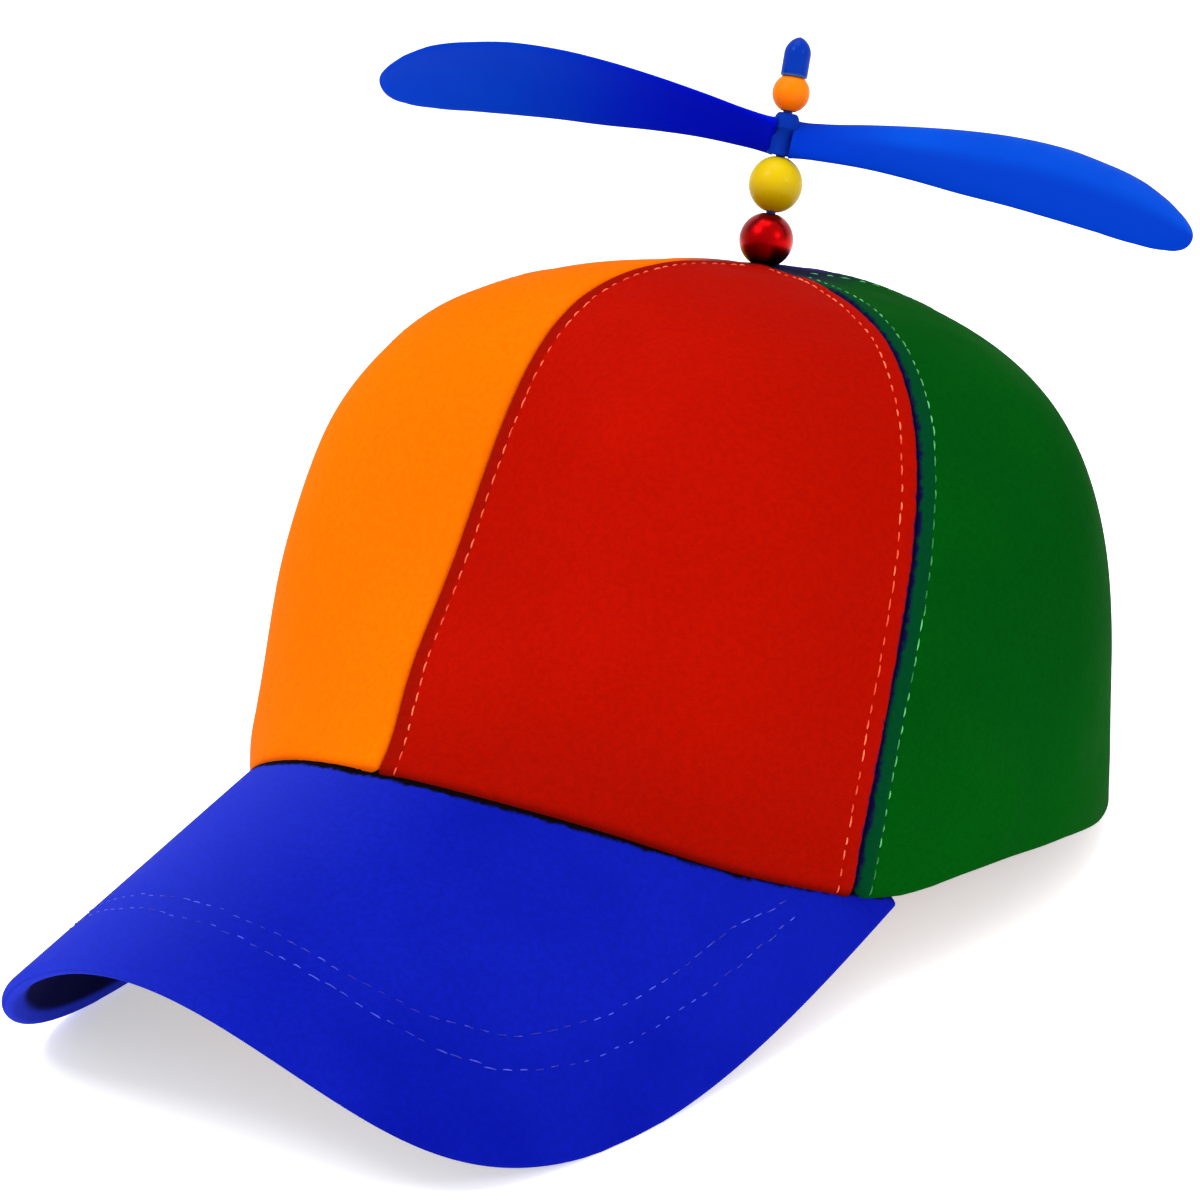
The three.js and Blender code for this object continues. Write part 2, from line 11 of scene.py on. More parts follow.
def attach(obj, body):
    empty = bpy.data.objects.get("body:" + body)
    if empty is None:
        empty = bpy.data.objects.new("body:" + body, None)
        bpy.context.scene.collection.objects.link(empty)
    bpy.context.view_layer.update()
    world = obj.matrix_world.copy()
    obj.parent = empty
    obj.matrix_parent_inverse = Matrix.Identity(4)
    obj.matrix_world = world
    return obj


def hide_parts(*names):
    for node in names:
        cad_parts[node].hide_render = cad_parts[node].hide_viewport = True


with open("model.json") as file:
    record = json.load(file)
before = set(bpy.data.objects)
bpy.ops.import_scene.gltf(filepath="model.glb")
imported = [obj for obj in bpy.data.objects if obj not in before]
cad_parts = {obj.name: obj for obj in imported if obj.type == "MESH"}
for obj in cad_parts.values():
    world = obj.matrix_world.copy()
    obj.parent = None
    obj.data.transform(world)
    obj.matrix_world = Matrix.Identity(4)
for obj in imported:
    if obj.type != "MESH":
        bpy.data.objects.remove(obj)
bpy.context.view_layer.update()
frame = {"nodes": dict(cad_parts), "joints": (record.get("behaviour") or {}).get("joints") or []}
random.seed(7)

# Sizes in millimetres, the same as in the part's source

MM = 0.001

# The hole search starts at this share of the crown's profile
HOLE_SEARCH_FROM = 0.8
HOLE_SEARCH_STEPS = 24

CROWN = Sizes(
    half_width=81.9,
    front_reach=113.2,
    back_reach=93.0,
    height=106.1,
    apex_set_back=3.0,
    rim_rise=1.2,
    wall=2.0,
    right_flare=3.0,
    flare_height=0.12,
    rim_power=1.91,
    mid_power=1.79,
)
BRIM = Sizes(
    half_width=97.7,
    reach=60.2,
    tail=56.9,
    thickness=3.0,
    slope=math.radians(28.9),
    roll=math.radians(3.4),
    seat_height=13.8,
    side_power=4.28,
    front_power=3.07,
    edge_radius=1.5,
)
FIT_GAP = 0.3
TOP_HOLE = 2.8
RIM_TURN = Sizes(past=5.0, ease=3.2, reach=34.0)
BRIM_ENDS = Sizes(left=67.053, right=54.418)

PROFILE = {
    "angle": [0, 45, 90, 135, 180],
    "lean": [-0.439, -0.011, 0.122, -0.115, -0.04],
    "rise": [0.5, 0.519, 0.615, 0.5, 0.52],
    "shoulder": [0.858, 1.075, 1.101, 0.774, 0.75],
    "crest": [0.114, 0.047, -0.031, 0.033, 0.03],
}
BEND = {
    "share": [-0.2, 0, 0.2, 0.4, 0.6, 0.8, 1, 1.2],
    "slope": [-18.7, 0, 18.7, 33.8, 48.3, 56.4, 69.6, 85.9],
}
SEAMS = {
    "front": Sizes(rim=0.0, apex=0.0, kink=5.8),
    "side": Sizes(rim=62.8, apex=72.1, kink=0.0),
    "rear": Sizes(rim=132.0, apex=130.0, kink=0.0),
    "back": Sizes(rim=180.0, apex=180.0, kink=0.0),
}
KINK_HEIGHT = 0.1

# How the cap rests: tilt back, sway sideways, and the shift onto the table
REST = Sizes(
    tilt=math.radians(11.996005),
    sway=math.radians(3.326481),
    shift=(-1.676667, 35.690090, 17.839890),
)

SPINDLE_LEAN = Sizes(back=math.radians(6.83), side=math.radians(0.69))
STACK = Sizes(red=5.65788, yellow=17.15788, orange=36.0102, cap=40.07527)
BORE = 1.3

CAMERA = Sizes(
    azimuth=math.radians(40.579),
    elevation=math.radians(16.579),
    roll=math.radians(-5.828),
    distance=663.04,
    target=(-15.854, 22.661, 57.737),
    lens=96.0,
)


# Small tools

def column(table, key, at, name):
    """Smooth value of a table's column, with its first and last rows mirrored."""
    keys = np.array(table[key], float)
    values = np.array(table[name], float)
    last = len(keys) - 1
    at = np.asarray(at, float)
    i = np.clip(np.searchsorted(keys, at) - 1, 0, last - 1)
    g = (at - keys[i]) / (keys[i + 1] - keys[i])
    p1 = values[i]
    p2 = values[i + 1]
    p0 = values[np.abs(i - 1)]
    p3 = values[last - np.abs(last - i - 2)]
    bend = 2 * p0 - 5 * p1 + 4 * p2 - p3 + g * (3 * (p1 - p2) + p3 - p0)
    return p1 + 0.5 * g * (p2 - p0 + g * bend)


def power(value, exponent):
    return np.sign(value) * np.abs(value) ** exponent


def lerp(a, b, t):
    return a + (b - a) * t


def smooth(value, low, high):
    t = np.clip((value - low) / (high - low), 0, 1)
    return t * t * (3 - 2 * t)


def bell(value, middle, width):
    return np.exp(-(((value - middle) / width) ** 2))


def bezier(a, b, c, d, t):
    s = 1 - t
    return s**3 * a + 3 * s * s * t * b + 3 * s * t * t * c + t**3 * d


def unit(vectors):
    length = np.linalg.norm(vectors, axis=-1, keepdims=True)
    return vectors / np.maximum(length, 1e-9)


def stacked(*parts):
    return np.stack(np.broadcast_arrays(*parts), axis=-1)


# Brim surface: a flat pattern (across, ahead) bent over an arch that slopes down

def brim_section():
    """Across, position, and outward direction of the bent brim's section."""
    steps = 48
    span = BRIM.half_width * BEND["share"][-1]
    across = np.linspace(0, span, steps + 1)
    slopes = np.radians(column(BEND, "share", across / BRIM.half_width, "slope"))
    mean = (slopes[1:] + slopes[:-1]) / 2
    side = np.concatenate([[0], np.cumsum(np.cos(mean))]) * span / steps
    drop = np.concatenate([[0], np.cumsum(np.sin(mean))]) * span / steps

    def both(values, sign):
        return np.concatenate([sign * values[:0:-1], values])

    x, z = both(side, -1), -both(drop, 1)
    nx, nz = both(np.sin(slopes), -1), both(np.cos(slopes), 1)
    c, s = math.cos(BRIM.roll), math.sin(BRIM.roll)
    return both(across, -1), x * c - z * s, x * s + z * c, nx * c - nz * s, nx * s + nz * c


SECTION = brim_section()


def brim_point(across, ahead, offset=0.0):
    """Point of the brim's upper surface, moved along its section's normal by an offset."""
    key, xs, rises, nx, nz = SECTION
    x = np.interp(across, key, xs) + offset * np.interp(across, key, nx)
    rise = np.interp(across, key, rises) + offset * np.interp(across, key, nz)
    y = -CROWN.front_reach - ahead * math.cos(BRIM.slope) - rise * math.sin(BRIM.slope)
    z = BRIM.seat_height - ahead * math.sin(BRIM.slope) + rise * math.cos(BRIM.slope)
    return stacked(x, y, z)


def brim_pattern(x, y, offset=0.0):
    """Flat pattern coordinates of the surface point over a place in plan."""
    key, xs, rises, nx, nz = SECTION
    moved = xs + offset * nx
    rise = np.interp(x, moved, rises + offset * nz)
    ahead = (-CROWN.front_reach - y - rise * math.sin(BRIM.slope)) / math.cos(BRIM.slope)
    return np.interp(x, moved, key), ahead


def brim_edge(at, inset=0.0):
    """Pattern point of the outer edge, from one end (-1) to the other (1)."""
    steps = 300
    run = BRIM.reach - inset + BRIM.tail
    a = math.pi / 2 * power(np.arange(-steps, steps + 1) / steps, BRIM.side_power / 2)
    across = (BRIM.half_width - inset) * power(np.sin(a), 2 / BRIM.side_power)
    ahead = run * np.maximum(0, np.cos(a)) ** (2 / BRIM.front_power) - BRIM.tail
    length = np.concatenate([[0], np.cumsum(np.hypot(np.diff(across), np.diff(ahead)))])
    place = (np.asarray(at) + 1) / 2 * length[-1]
    return np.interp(place, length, across), np.interp(place, length, ahead)


# Crown surface, with angle 0 at the front and positive angles on the wearer's left

def outline(angle, exponent, inset):
    s = np.sin(np.radians(angle))
    c = np.cos(np.radians(angle))
    reach = np.where(c > 0, CROWN.front_reach, CROWN.back_reach)
    x = (CROWN.half_width - inset) * power(s, 2 / exponent)
    return x, -(reach - inset) * power(c, 2 / exponent)


def flared(x, fade):
    return np.where(x < 0, x * (1 + fade * CROWN.right_flare / CROWN.half_width), x)


def turn_of(angle):
    turn = np.abs(angle)
    return np.where(turn > 180, 360 - turn, turn)


def rim_plan(angle, inset=0.0):
    x, y = outline(angle, CROWN.rim_power, inset)
    return flared(x, 1.0), y


def rim_height(angle, inset):
    """The rim sits on the brim at the front and eases to its own plane behind it."""
    x, y = rim_plan(angle, inset)
    level = CROWN.rim_rise * y / CROWN.back_reach
    across, ahead = brim_pattern(x, y, FIT_GAP)
    on_brim = brim_point(across, ahead, FIT_GAP)[..., 2]
    end = np.where(x > 0, BRIM_ENDS.left, BRIM_ENDS.right)
    turn = turn_of(angle)
    weight = 1 / (1 + np.exp((turn - end - RIM_TURN.past) / RIM_TURN.ease))
    return lerp(level, on_brim, np.where(turn < end + RIM_TURN.reach, weight, 0))


def crown_point(angle, t, inset=0.0):
    turn = turn_of(angle)
    lean, rise, shoulder, crest = (
        column(PROFILE, "angle", turn, name) for name in ("lean", "rise", "shoulder", "crest")
    )
    low = outline(angle, CROWN.rim_power, inset)
    mid = outline(angle, CROWN.mid_power, inset)
    mix = smooth(t, 0, 0.45)
    out = bezier(1, 1 + lean, shoulder, 0, t)
    up = bezier(0, rise, 1 + crest, 1, t)
    base = rim_height(angle, inset)
    fade = np.exp(-((t / CROWN.flare_height) ** 2))
    x = flared(lerp(low[0], mid[0], mix), fade) * out
    y = CROWN.apex_set_back * (1 - out) + lerp(low[1], mid[1], mix) * out
    return stacked(x, y, base + (CROWN.height - inset - base) * up)


def hole_share(angle, inset):
    """Share of the profile at which it reaches the hole round the spindle."""
    low = np.full(np.shape(angle), HOLE_SEARCH_FROM)
    high = np.ones(np.shape(angle))
    for _ in range(HOLE_SEARCH_STEPS):
        t = (low + high) / 2
        p = crown_point(angle, t, inset)
        outside = np.hypot(p[..., 0], p[..., 1] - CROWN.apex_set_back) > TOP_HOLE
        low = np.where(outside, t, low)
        high = np.where(outside, high, t)
    return high


def seam_angle(seam, side, t):
    row = SEAMS[seam]
    kink = row.kink * np.exp(-((t / KINK_HEIGHT) ** 2))
    return side * lerp(row.rim, row.apex, t**1.5) + kink


# From the cap's own frame to the table's

def rest_matrix():
    turn = Matrix.Rotation(-REST.tilt, 4, "X") @ Matrix.Rotation(REST.sway, 4, "Y")
    return Matrix.Translation(REST.shift) @ turn


REST_MATRIX = rest_matrix()
REST_TURN = np.array(REST_MATRIX)[:3, :3]
REST_SHIFT = np.array(REST_MATRIX)[:3, 3]


def at_rest(points):
    """Points of the cloth on the table, pressed flat where they reach it."""
    moved = points @ REST_TURN.T + REST_SHIFT
    moved[..., 2] = np.maximum(moved[..., 2], 0)
    return moved


# Meshes

def mesh_object(name, vertices, faces, attributes=None):
    mesh = bpy.data.meshes.new(name)
    mesh.from_pydata((vertices * MM).tolist(), [], faces)
    for key, values in (attributes or {}).items():
        layer = mesh.attributes.new(key, "FLOAT", "POINT")
        layer.data.foreach_set("value", np.asarray(values, np.float32).ravel())
    mesh.validate()
    mesh.shade_smooth()
    made = bpy.data.objects.new(name, mesh)
    bpy.context.scene.collection.objects.link(made)
    return made


def grid_faces(rows, cols, start=0, flip=False):
    faces = []
    for i in range(rows - 1):
        for j in range(cols - 1):
            a = start + i * cols + j
            quad = (a, a + 1, a + cols + 1, a + cols)
            faces.append(quad[::-1] if flip else quad)
    return faces


def border(rows, cols):
    """Indices round a grid, in order."""
    top = [j for j in range(cols)]
    right = [i * cols + cols - 1 for i in range(1, rows)]
    bottom = [(rows - 1) * cols + j for j in range(cols - 2, -1, -1)]
    left = [i * cols for i in range(rows - 2, 0, -1)]
    return top + right + bottom + left


def wall_mesh(name, outer, inner, attributes):
    """One closed skin round two grids of points: an outer and an inner one.

    An attribute is one grid of values for both, or a pair of grids.
    """
    rows, cols = outer.shape[:2]
    count = rows * cols
    faces = grid_faces(rows, cols) + grid_faces(rows, cols, count, True)
    ring = border(rows, cols)
    for a, b in zip(ring, ring[1:] + ring[:1]):
        faces.append((b, a, a + count, b + count))
    points = np.concatenate([outer.reshape(-1, 3), inner.reshape(-1, 3)])
    doubled = {}
    for key, values in attributes.items():
        pair = values if isinstance(values, tuple) else (values, values)
        doubled[key] = np.concatenate([side.ravel() for side in pair])
    made = mesh_object(name, points, faces, doubled)
    facing_out(made)
    return made


def facing_out(made):
    """Turns the faces outwards, if they enclose a negative volume."""
    mesh = made.data
    volume = 0.0
    for polygon in mesh.polygons:
        corners = [mesh.vertices[i].co for i in polygon.vertices]
        for k in range(1, len(corners) - 1):
            volume += corners[0].dot(corners[k].cross(corners[k + 1]))
    if volume < 0:
        mesh.flip_normals()


def turned_mesh(name, profile, sides=96):
    """A turned form about +Z from [radius, height] points that close on themselves."""
    around = np.linspace(0, 2 * math.pi, sides, endpoint=False)
    profile = np.array(profile, float)
    count = len(profile)
    x = np.outer(np.cos(around), profile[:, 0])
    y = np.outer(np.sin(around), profile[:, 0])
    z = np.broadcast_to(profile[:, 1], x.shape)
    faces = []
    for i in range(sides):
        for j in range(count):
            a, b = i * count, (i + 1) % sides * count
            k = (j + 1) % count
            faces.append((a + j, b + j, b + k, a + k))
    low, high = profile[:, 1].min(), profile[:, 1].max()
    level = (2 * z - low - high) / (high - low)
    made = mesh_object(name, np.stack([x, y, z], -1).reshape(-1, 3), faces, {"level": level})
    facing_out(made)
    return made


def place(made, matrix):
    made.data.transform(matrix)
    return made


# Panels of cloth

# Relief of the cloth beside a seam: its allowance lies under a band that stands up a little
SEAM = Sizes(
    gap=0.04,
    fold=0.9,
    band=3.4,
    band_fall=2.2,
    rise=0.28,
    rise_over=1.2,
    dip=0.22,
    dip_width=0.5,
    pucker=0.1,
    pucker_speed=3.2,
    pucker_reach=7.0,
)
# Slow unevenness of the cloth, which starts above the hem
SLACK = Sizes(depth=0.35, above=14.0)
# Share of the outer relief that the wall's thickness loses, so its inside stays calmer
INSIDE_SHARE = 0.6
HEM = Sizes(fold=1.1, tuck=1.4, tuck_height=4.5, fade=0.06)
# How far the lower edge is lifted, by angle round the crown
HEM_RISE = {
    "angle": [-62.5, -61, -60, -59.2, -58.5, -58, -57.5, -56.5, 60, 64, 70, 75, 82, 90, 96, 102, 110],
    "rise": [0, 0.7, 2.0, 3.8, 5.4, 5.2, 1.9, 0, 0, 0.3, 1.2, 1.0, 0.5, 0.9, 1.2, 0.9, 0],
}
DENT = Sizes(depth=2.4, at=-43.0, width=13.0, height=17.0)
STITCH = Sizes(
    pitch=3.15,
    length=2.0,
    shortest=0.7,
    longest=1.2,
    uneven=0.25,
    loose=0.14,
    start=1.5,
    points=6,
    radius=0.16,
    sides=7,
    from_seam=3.7,
    arch=0.14,
    sink=0.06,
)
# Where the crown meets the brim: how high above the hem its painted shade fades (depth), and over how
# many degrees past the brim's ends the junction fades out (end)
JUNCTION = Sizes(depth=1.3, end=3.0)
# Distances from a seam and from the hem at which the cloth has points
EDGE_STEPS = [0, 0.12, 0.3, 0.55, 0.9, 1.4, 2.0, 2.6, 3.0, 3.3, 3.6, 3.9, 4.3, 5.0, 6.0, 7.5]
RIM_STEPS = [0, 0.12, 0.3, 0.55, 0.85, 1.2, 1.7, 2.4, 3.3, 4.5]
MIDDLE_COLUMNS = 26
PANEL_ROWS = 130
RIM_SPEED = 190.0
NARROW_SHARE = 2.6


def round_off(distance, radius):
    """How deep a rounded edge lies at a distance from it."""
    left = np.clip(radius - distance, 0, radius)
    return radius - np.sqrt(radius**2 - left**2)


def panel_shares():
    """Shares of the profile at which a panel has a row of points."""
    first = np.array(RIM_STEPS) / RIM_SPEED
    rest = np.linspace(first[-1], 1, PANEL_ROWS - len(first) + 1)[1:]
    return np.concatenate([first, rest])


def panel_angles(seams, shares):
    """Angles of a panel's points, evenly far from the seams beside them."""
    fine = np.linspace(0, 1, 121)
    first = seam_angle(*seams[0], shares)[:, None]
    last = seam_angle(*seams[1], shares)[:, None]
    angles = lerp(first, last, fine[None, :])
    t = shares[:, None] * hole_share(angles, 0.0)
    points = crown_point(angles, t)
    steps = np.linalg.norm(np.diff(points, axis=1), axis=2)
    along = np.concatenate([np.zeros((len(shares), 1)), np.cumsum(steps, axis=1)], axis=1)
    width = along[:, -1]
    edge = np.array(EDGE_STEPS)
    from_first = []
    for w in width:
        scale = min(1.0, (w - 2 * SEAM.gap) / (NARROW_SHARE * edge[-1]))
        near = SEAM.gap + edge * scale
        middle = np.linspace(near[-1], w - near[-1], MIDDLE_COLUMNS + 2)[1:-1]
        from_first.append(np.concatenate([near, middle, w - near[::-1]]))
    from_first = np.array(from_first)
    angle = np.stack([np.interp(d, a, g) for d, a, g in zip(from_first, along, angles)])
    return angle, from_first, width[:, None] - from_first


def grid_normals(points):
    """Outward normals of a crown grid."""
    across = np.gradient(points, axis=1)
    up = np.gradient(points, axis=0)
    normals = unit(np.cross(across, up))
    middle = np.array([0, CROWN.apex_set_back, CROWN.height * 0.3])
    flip = np.sign(((points - middle) * normals).sum(-1, keepdims=True).mean())
    return normals * flip


def waves(a, b, seed):
    """Slow uneven undulation over two coordinates in millimetres."""
    source = random.Random(seed)
    total = np.zeros(np.broadcast(a, b).shape)
    for _ in range(7):
        fa, fb = source.uniform(-1, 1) / 26, source.uniform(-1, 1) / 34
        total = total + np.sin(2 * math.pi * (fa * a + fb * b) + source.uniform(0, 6.3))
    return total / 7


def seam_relief(distance, height, seed):
    """Relief of the cloth beside a seam: rolled in, raised over its allowance, dipped at its stitches."""
    fold = -round_off(distance, SEAM.fold)
    beyond = smooth(distance, SEAM.band, SEAM.band + SEAM.band_fall)
    raised = SEAM.rise * smooth(distance, 0, SEAM.rise_over) * (1 - beyond)
    dip = -SEAM.dip * bell(distance, STITCH.from_seam, SEAM.dip_width)
    uneven = waves(height * SEAM.pucker_speed, distance, seed)
    pucker = SEAM.pucker * uneven * np.exp(-distance / SEAM.pucker_reach)
    return fold + raised + dip + pucker


def on_brim(angle):
    """1 where the cloth meets the brim, 0 behind the brim's ends."""
    end = np.where(angle > 0, BRIM_ENDS.left, BRIM_ENDS.right) - 1
    return smooth(end + JUNCTION.end - turn_of(angle), 0, JUNCTION.end)


def hem_relief(angle, height):
    """How deep the lower edge turns in: a short fold, a longer one over the brim."""
    left = np.clip(1 - height / HEM.tuck_height, 0, 1)
    tuck = HEM.tuck * (1 - np.sqrt(1 - left**2))
    return lerp(round_off(height, HEM.fold), tuck, on_brim(angle))


def dent(angle, height):
    """The cloth draws in over the brim's fold on the wearer's right."""
    return DENT.depth * bell(angle, DENT.at, DENT.width) * (1 - smooth(height, 0, DENT.height))


def panel_grids(seams, corners, seed):
    shares = panel_shares()
    angle, from_first, from_last = panel_angles(seams, shares)
    hole = hole_share(angle, 0.0)
    corner = round_off(from_first, corners[0]) + round_off(from_last, corners[1])
    raised = corner + np.interp(angle, HEM_RISE["angle"], HEM_RISE["rise"])
    lift = raised / RIM_SPEED * np.clip(1 - shares[:, None] / HEM.fade, 0, 1)
    t = shares[:, None] * hole + lift
    base = crown_point(angle, t)
    step = np.linalg.norm(np.diff(base, axis=0), axis=2)
    height = np.concatenate([np.zeros((1, base.shape[1])), np.cumsum(step, axis=0)])
    normals = grid_normals(base)
    base = base - normals * dent(angle, height)[..., None]
    relief = seam_relief(from_first, height, seed) + seam_relief(from_last, height, seed + 1)
    hem = hem_relief(angle, height)
    soft = SLACK.depth * waves(from_first, height, seed + 2) * smooth(height, 0, SLACK.above)
    outer = base + normals * (relief - hem + soft)[..., None]
    inside_fold = round_off(from_first, SEAM.fold) + round_off(from_last, SEAM.fold)
    thickness = CROWN.wall - INSIDE_SHARE * (inside_fold + hem)
    inner = base - normals * thickness[..., None]
    attributes = {
        "seam_a": from_first,
        "seam_b": from_last,
        "up": height,
        # Mask of the painted shade where the crown meets the brim, fading upwards from the hem
        "junction_shade": np.exp(-height / JUNCTION.depth) * on_brim(angle),
        "top": np.hypot(base[..., 0], base[..., 1] - CROWN.apex_set_back),
    }
    return outer, inner, attributes, normals


# Seams beside each panel, and the radii of its two lower corners
PANELS = {
    "panel_front_left": ([("front", 1), ("side", 1)], (0.25, 1.8)),
    "panel_front_right": ([("front", -1), ("side", -1)], (0.25, 1.8)),
    "panel_side_left": ([("side", 1), ("rear", 1)], (3.2, 1.5)),
    "panel_side_right": ([("side", -1), ("rear", -1)], (3.2, 1.5)),
    "panel_back_left": ([("rear", 1), ("back", 1)], (1.5, 1.5)),
    "panel_back_right": ([("rear", -1), ("back", -1)], (1.5, 1.5)),
}


def stitch_mesh(name, runs, radius):
    """Stitches as short bent threads; each run is one stitch's points and normals."""
    vertices = []
    faces = []
    sides = STITCH.sides
    around = np.linspace(0, 2 * math.pi, sides, endpoint=False)
    for points, normals in runs:
        count = len(points)
        tangent = unit(np.gradient(points, axis=0))
        side = unit(np.cross(tangent, normals))
        share = np.linspace(0, 1, count)
        arch = np.sin(np.pi * share)
        thick = radius * (0.55 + 0.45 * arch**0.5)
        start = len(vertices)
        for k in range(count):
            middle = points[k] + normals[k] * (STITCH.arch * arch[k] - STITCH.sink)
            for a in around:
                offset = side[k] * math.cos(a) + normals[k] * math.sin(a)
                vertices.append(middle + offset * thick[k])
        for k in range(count - 1):
            for s in range(sides):
                a = start + k * sides + s
                b = start + k * sides + (s + 1) % sides
                faces.append((a, b, b + sides, a + sides))
        faces.append(tuple(start + s for s in range(sides))[::-1])
        faces.append(tuple(start + (count - 1) * sides + s for s in range(sides)))
    return mesh_object(name, np.array(vertices), faces)


def along_line(points, normals, loose=STITCH.loose):
    """Cuts a line into uneven stitches, a pitch apart."""
    step = np.linalg.norm(np.diff(points, axis=0), axis=1)
    run = np.concatenate([[0], np.cumsum(step)])
    stitches = []
    place_at = STITCH.start
    while place_at + 2 * STITCH.length < run[-1]:
        first = place_at + random.uniform(-STITCH.uneven, STITCH.uneven)
        length = STITCH.length * random.uniform(STITCH.shortest, STITCH.longest)
        at = np.linspace(first, first + length, STITCH.points)
        p = np.stack([np.interp(at, run, points[:, k]) for k in range(3)], -1)
        n = unit(np.stack([np.interp(at, run, normals[:, k]) for k in range(3)], -1))
        p = p + np.cross(unit(np.gradient(p, axis=0)), n) * random.uniform(-loose, loose)
        stitches.append((p, n))
        place_at += STITCH.pitch
    return stitches


def line_at(grid, normals, distances, wanted):
    """The grid's line at a distance from a seam, up to where the panel gets too narrow for it."""
    points = []
    directions = []
    for row, n, d in zip(grid, normals, distances):
        order = np.argsort(d)
        if d.max() < wanted * 2.1:
            break
        points.append([np.interp(wanted, d[order], row[order, k]) for k in range(3)])
        directions.append([np.interp(wanted, d[order], n[order, k]) for k in range(3)])
    return np.array(points), unit(np.array(directions))


def panel_piece(name, seams, corners, seed, stitched):
    """A panel's cloth, and its stitches beside those of its two seams that are stitched."""
    outer, inner, attributes, normals = panel_grids(seams, corners, seed)
    made = wall_mesh(name + "_cloth", at_rest(outer), at_rest(inner), attributes)
    dress(made, name, "cap")
    stitches = []
    for key, wanted in zip(("seam_a", "seam_b"), stitched):
        if wanted:
            points, directions = line_at(outer, normals, attributes[key], STITCH.from_seam)
            stitches += along_line(points, directions)
    runs = [(at_rest(p), n @ REST_TURN.T) for p, n in stitches]
    stitch_piece(name + "_stitches", runs, name)


def stitch_piece(name, runs, slot, radius=STITCH.radius):
    made = stitch_mesh(name, runs, radius)
    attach(made, "cap")
    made.data.materials.append(MATERIALS[slot + "_thread"])


# Brim

BRIM_ROWS = 260
BRIM_COLUMNS = np.concatenate([np.linspace(0, 0.9, 46), np.linspace(0.91, 1, 10)])
# Distance of the brim's two stitch rows from its edge, by place along it
BRIM_STITCH = {
    "at": [0, 0.2, 0.36, 0.5, 0.62, 0.8, 0.9, 1],
    "outer": [15.8, 17, 17.5, 16.2, 15.2, 14.2, 13.4, 13],
    "inner": [20, 20.7, 23.4, 22.6, 21.2, 20.4, 15.6, 13],
}
BRIM_STITCH_END = 0.9
BRIM_THREAD = Sizes(radius=0.13, sink=0.12, loose=0.3)
BRIM_RELIEF = Sizes(slack=0.16, dip=0.12, dip_width=0.8, fade=0.04)
# Painted shade of the brim's underside: it starts this far in from the outer edge and is full at the
# second distance, in millimetres
UNDER_SHADE = Sizes(start=0.8, full=4.0)
EDGE_SHARE = 0.99
# The hidden right end of the brim is drawn back under the crown
TAIL = Sizes(start=0.93, share=0.55)


def brim_root(at):
    end = np.where(at > 0, BRIM_ENDS.left, BRIM_ENDS.right)
    x, y = rim_plan(at * end, CROWN.wall)
    return brim_pattern(x, y)


def brim_grid():
    at = np.linspace(-1, 1, BRIM_ROWS)
    root = brim_root(at)
    far = brim_edge(at * EDGE_SHARE, BRIM.edge_radius)
    edge = brim_edge(at * EDGE_SHARE)
    drawn = TAIL.share * smooth(-at, TAIL.start, 1)
    far, edge = ([lerp(line[k], root[k], drawn) for k in (0, 1)] for line in (far, edge))
    w = BRIM_COLUMNS[None, :]
    across = lerp(root[0][:, None], far[0][:, None], w)
    ahead = lerp(root[1][:, None], far[1][:, None], w)
    return at, across, ahead, far, edge


def stitch_row(name, steps=500):
    """A stitch row of the brim as pattern points."""
    at = np.linspace(-BRIM_STITCH_END, BRIM_STITCH_END, steps)
    inset = np.interp(np.abs(at), BRIM_STITCH["at"], BRIM_STITCH[name])
    across, ahead = brim_edge(at, 0)
    line = np.stack([across, ahead], -1)
    tangent = unit(np.gradient(line, axis=0))
    inward = np.stack([tangent[:, 1], -tangent[:, 0]], -1)
    return line + inward * inset[:, None]


def distance_to(line, across, ahead):
    """Distance of pattern points to a line of pattern points."""
    points = np.stack([across, ahead], -1)[..., None, :]
    return np.sqrt(((points - line) ** 2).sum(-1)).min(-1)


def brim_relief(across, ahead, side):
    """Dips along the stitch rows and slow unevenness of the cloth."""
    relief = BRIM_RELIEF.slack * waves(across, ahead, 40 + side)
    for name in ("outer", "inner"):
        away = distance_to(stitch_row(name), across, ahead)
        relief = relief - BRIM_RELIEF.dip * bell(away, 0, BRIM_RELIEF.dip_width)
    return relief


def brim_round(far, edge):
    """Lines of points round the brim's outer edge, from its upper to its lower face."""
    lines = []
    for a in np.linspace(0, math.pi, 13)[1:-1]:
        across = lerp(far[0], edge[0], math.sin(a))
        ahead = lerp(far[1], edge[1], math.sin(a))
        lines.append(brim_point(across, ahead, BRIM.thickness / 2 * (math.cos(a) - 1)))
    return lines


def brim_piece():
    at, across, ahead, far, edge = brim_grid()
    fade = smooth(BRIM_COLUMNS, 0, BRIM_RELIEF.fade)
    top = brim_point(across, ahead, brim_relief(across, ahead, 1) * fade)
    bottom = brim_point(across, ahead, -BRIM.thickness - brim_relief(across, ahead, 2) * fade)
    lines = brim_round(far, edge)
    half = len(lines) // 2
    top = np.concatenate([top, np.stack(lines[: half + 1], 1)], axis=1)
    bottom = np.concatenate([bottom, np.stack(lines[: half - 1 : -1], 1)], axis=1)
    end = np.where(at > 0, BRIM_ENDS.left, BRIM_ENDS.right)
    across = np.concatenate([across] + [across[:, -1:]] * (half + 1), axis=1)
    ahead = np.concatenate([ahead] + [ahead[:, -1:]] * (half + 1), axis=1)
    # Masks of painted shade: near the root where the brim meets the crown, and on the underside in from
    # the outer edge
    root = distance_to(np.stack(brim_root(at), -1), across, ahead) + dent(at * end, 0.0)[:, None]
    under = smooth(distance_to(np.stack(far, -1), across, ahead), UNDER_SHADE.start, UNDER_SHADE.full)
    attributes = {"root": root, "sideways": across, "under": (0 * under, under)}
    made = wall_mesh("brim_cloth", at_rest(top), at_rest(bottom), attributes)
    dress(made, "brim", "cap")
    brim_stitches(1, "top", -BRIM_THREAD.sink)
    brim_stitches(-1, "under", BRIM_THREAD.sink - BRIM.thickness)


